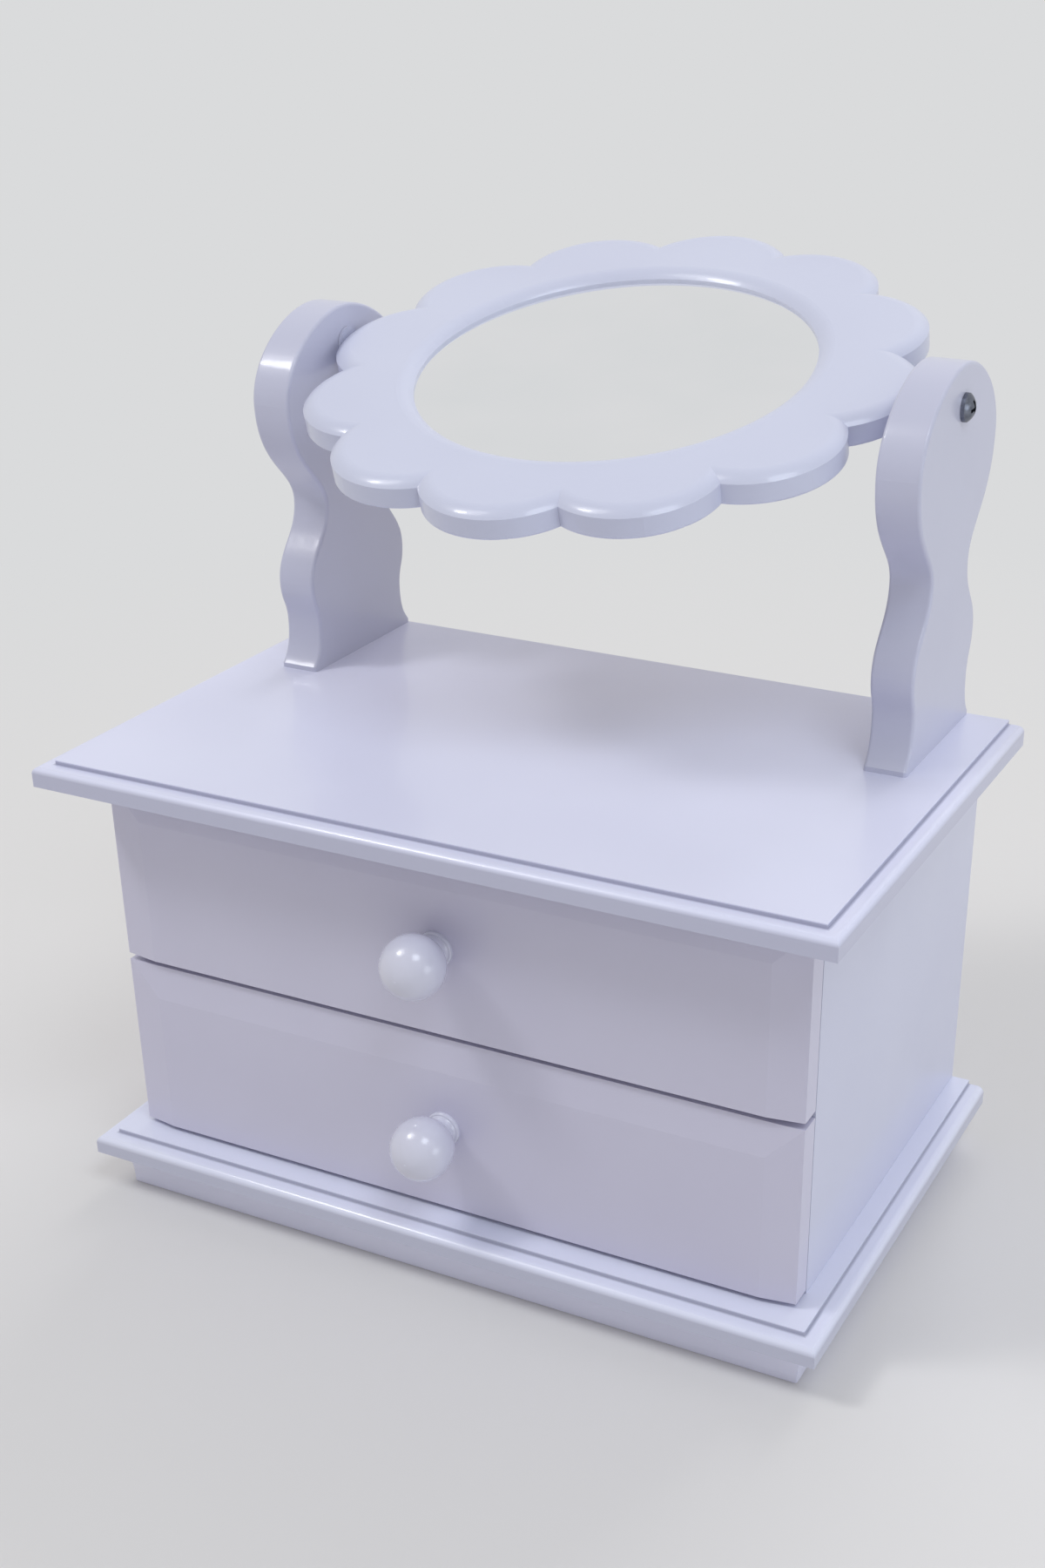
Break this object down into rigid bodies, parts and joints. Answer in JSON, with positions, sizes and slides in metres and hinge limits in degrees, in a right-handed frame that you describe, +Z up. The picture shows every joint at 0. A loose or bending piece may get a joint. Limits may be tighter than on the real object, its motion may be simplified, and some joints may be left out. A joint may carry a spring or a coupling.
{
  "type": "makeup box with mirror",
  "caption": "White lacquered makeup box with stacked drawers on ball knobs, moulded top and base boards, and a round scalloped mirror that tilts between shaped posts.",
  "frame": {"origin": "on the table plane, under the centre of the whole outline with the mirror at its rest tilt", "axes": "+Z is up, +X is to the right seen from the drawer side, +Y is to the back; the drawers open towards -Y and the mirror tilts about X"},
  "size_m": [0.25, 0.2272, 0.2752],
  "materials": {
    "white_lacquer": "gloss white lacquer with a faint lavender tint, on fibreboard",
    "knob_lacquer": "high gloss white lacquer on turned wood",
    "painted_hardboard": "thin satin white paint on hardboard",
    "hardboard": "bare brown hardboard",
    "beech": "bare beech",
    "silvered_glass": "polished silvered float glass",
    "grey_felt": "thin grey felt",
    "zinc_steel": "bright zinc plating",
    "white_nylon": "smooth white nylon"
  },
  "bodies": {
    "cabinet": {"plinth_front": "white_lacquer", "plinth_right": "white_lacquer", "plinth_left": "white_lacquer", "plinth_back": "white_lacquer", "base_board": "white_lacquer", "base_screws": "zinc_steel", "right_side_panel": "white_lacquer", "left_side_panel": "white_lacquer", "divider_shelf": "white_lacquer", "back_panel": "painted_hardboard", "back_panel_pins": "zinc_steel", "top_dowels": "beech", "top_board": "white_lacquer", "right_post": "white_lacquer", "left_post": "white_lacquer", "post_screws": "zinc_steel"},
    "mirror": {"mirror_frame": "white_lacquer", "mirror_glass": "silvered_glass", "mirror_pad": "grey_felt", "mirror_backing_board": "hardboard", "backing_screws": "zinc_steel", "right_pivot_screw": "zinc_steel", "left_pivot_screw": "zinc_steel", "right_pivot_washer": "white_nylon", "left_pivot_washer": "white_nylon"},
    "upper_drawer": {"upper_drawer_front": "white_lacquer", "upper_drawer_right_side": "white_lacquer", "upper_drawer_left_side": "white_lacquer", "upper_drawer_back": "white_lacquer", "upper_drawer_bottom": "painted_hardboard", "upper_drawer_dowels": "beech", "upper_drawer_pins": "zinc_steel", "upper_knob": "knob_lacquer", "upper_knob_screw": "zinc_steel"},
    "lower_drawer": {"lower_drawer_front": "white_lacquer", "lower_drawer_right_side": "white_lacquer", "lower_drawer_left_side": "white_lacquer", "lower_drawer_back": "white_lacquer", "lower_drawer_bottom": "painted_hardboard", "lower_drawer_dowels": "beech", "lower_drawer_pins": "zinc_steel", "lower_knob": "knob_lacquer", "lower_knob_screw": "zinc_steel"}
  },
  "joints": [
    {"name": "mirror_tilt", "type": "hinge", "parent": "cabinet", "child": "mirror", "pos_m": [0, 0.02294, 0.2485], "axis": [1, 0, 0], "continuous": true},
    {"name": "upper_drawer_slide", "type": "slide", "parent": "cabinet", "child": "upper_drawer", "axis": [0, -1, 0], "range_m": [0, 0.105]},
    {"name": "lower_drawer_slide", "type": "slide", "parent": "cabinet", "child": "lower_drawer", "axis": [0, -1, 0], "range_m": [0, 0.105]}
  ]
}
